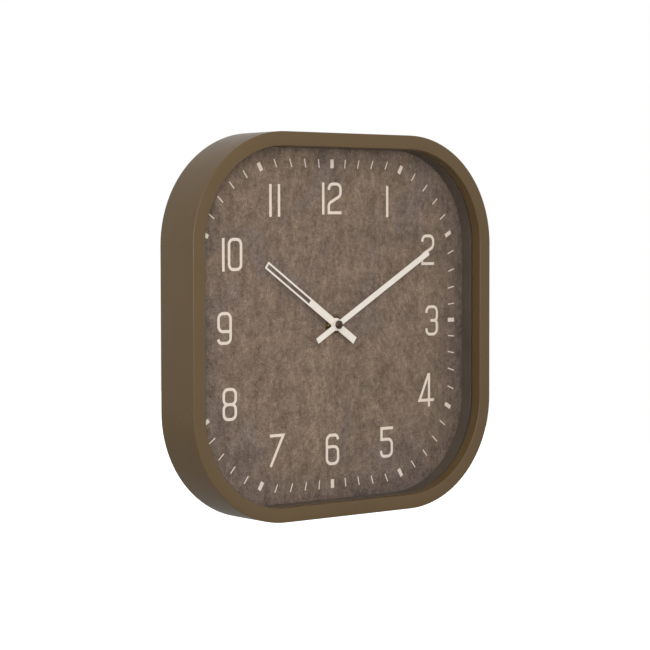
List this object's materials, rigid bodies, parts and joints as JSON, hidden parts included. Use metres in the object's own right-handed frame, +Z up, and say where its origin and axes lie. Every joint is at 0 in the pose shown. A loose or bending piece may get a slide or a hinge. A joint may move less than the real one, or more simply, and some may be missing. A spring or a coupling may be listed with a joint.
{
  "type": "wall clock",
  "caption": "Deep square wall clock with large round corners, a recessed dial, slotted hour hand, and a battery quartz movement behind it.",
  "frame": {"origin": "centre of the case, on the hand arbor at the dial's front face", "axes": "+Z up towards twelve, -Y out of the dial towards the reader, +X towards three"},
  "size_m": [0.3, 0.043, 0.3],
  "materials": {
    "case_paint": "satin olive-brown paint",
    "clear_glass": "clear flat glass",
    "spacer_board": "matt dark grey-brown",
    "dial_print": "matt mottled brown print on board",
    "cover_black": "fine-grained black plastic",
    "zinc_steel": "zinc-plated steel",
    "nickel_strip": "nickel-plated spring strip",
    "turned_brass": "turned brass",
    "dark_bronze": "dark bronze finish",
    "black_rubber": "soft black rubber",
    "movement_plastic": "moulded black plastic",
    "knob_plastic": "moulded black plastic",
    "white_acetal": "natural acetal",
    "sintered_magnet": "sintered magnet",
    "copper_wire": "enamelled copper winding",
    "board_laminate": "green circuit board",
    "black_resin": "black resin blob",
    "battery_sleeve": "plain dark sleeve",
    "hand_enamel": "warm white paint"
  },
  "bodies": {
    "case_body": {"case": "case_paint", "lens": "clear_glass", "spacer_ring": "spacer_board", "dial_plate": "dial_print", "back_cover": "cover_black", "hanger_plate": "zinc_steel", "hanger_screw_left": "zinc_steel", "hanger_screw_right": "zinc_steel", "cover_screw_1": "zinc_steel", "cover_screw_2": "zinc_steel", "cover_screw_3": "zinc_steel", "cover_screw_4": "zinc_steel", "cover_screw_5": "zinc_steel", "cover_screw_6": "zinc_steel", "cover_screw_7": "zinc_steel", "cover_screw_8": "zinc_steel", "rubber_washer": "black_rubber", "movement_base": "movement_plastic", "movement_cover": "movement_plastic", "threaded_bushing": "turned_brass", "mounting_washer": "turned_brass", "mounting_nut": "turned_brass", "train_bridge": "turned_brass", "stator": "zinc_steel", "coil_bobbin": "white_acetal", "coil_winding": "copper_wire", "circuit_board": "board_laminate", "chip_cap": "black_resin", "quartz_crystal": "zinc_steel", "contact_positive": "nickel_strip", "contact_negative": "nickel_strip"},
    "minute_train": {"minute_arbor": "turned_brass", "minute_hand": "hand_enamel", "minute_collet": "hand_enamel", "cap_nut": "dark_bronze"},
    "hour_train": {"hour_wheel": "white_acetal", "hour_hand": "hand_enamel", "hour_collet": "turned_brass"},
    "motion_work": {"motion_wheel": "white_acetal"},
    "setting_knob_body": {"setting_knob": "knob_plastic"},
    "centre_wheel_body": {"centre_wheel": "white_acetal"},
    "third_wheel_body": {"third_wheel": "white_acetal"},
    "second_wheel_body": {"second_wheel": "white_acetal"},
    "intermediate_wheel_body": {"intermediate_wheel": "white_acetal"},
    "rotor_body": {"rotor": "white_acetal", "rotor_magnet": "sintered_magnet"},
    "battery_body": {"battery": "battery_sleeve"}
  },
  "joints": [
    {"name": "minute_spin", "type": "hinge", "parent": "case_body", "child": "minute_train", "pos_m": [0, -0.0079, 0], "axis": [0, 1, 0], "continuous": true},
    {"name": "hour_spin", "type": "hinge", "parent": "case_body", "child": "hour_train", "pos_m": [0, -0.0051, 0], "axis": [0, 1, 0], "continuous": true},
    {"name": "motion_spin", "type": "hinge", "parent": "case_body", "child": "motion_work", "pos_m": [0.00987, 0.00725, 0.00359], "axis": [0, 1, 0], "continuous": true},
    {"name": "knob_spin", "type": "hinge", "parent": "case_body", "child": "setting_knob_body", "pos_m": [0.01662, 0.0194, 0.01163], "axis": [0, 1, 0], "continuous": true},
    {"name": "rotor_spin", "type": "hinge", "parent": "case_body", "child": "rotor_body", "pos_m": [0.00127, 0.01385, 0.01449], "axis": [0, 1, 0], "continuous": true},
    {"name": "intermediate_spin", "type": "hinge", "parent": "case_body", "child": "intermediate_wheel_body", "pos_m": [0.00482, 0.01385, 0.00688], "axis": [0, 1, 0], "continuous": true},
    {"name": "second_spin", "type": "hinge", "parent": "case_body", "child": "second_wheel_body", "pos_m": [0, 0.0122, 0], "axis": [0, 1, 0], "continuous": true},
    {"name": "third_spin", "type": "hinge", "parent": "case_body", "child": "third_wheel_body", "pos_m": [-0.0108, 0.01055, 0], "axis": [0, 1, 0], "continuous": true},
    {"name": "centre_spin", "type": "hinge", "parent": "case_body", "child": "centre_wheel_body", "pos_m": [0, 0.0089, 0], "axis": [0, 1, 0], "continuous": true},
    {"name": "battery_slide", "type": "slide", "parent": "case_body", "child": "battery_body", "axis": [0, 1, 0], "range_m": [0, 0.02]}
  ],
  "couplings": [
    {"joint": "hour_spin", "follows": "minute_spin", "ratio": 0.083333},
    {"joint": "motion_spin", "follows": "minute_spin", "ratio": -0.33333},
    {"joint": "knob_spin", "follows": "minute_spin", "ratio": 1},
    {"joint": "intermediate_spin", "follows": "rotor_spin", "ratio": -0.16667},
    {"joint": "second_spin", "follows": "rotor_spin", "ratio": 0.033333},
    {"joint": "third_spin", "follows": "rotor_spin", "ratio": -0.0044444},
    {"joint": "centre_spin", "follows": "rotor_spin", "ratio": 0.00055556}
  ]
}
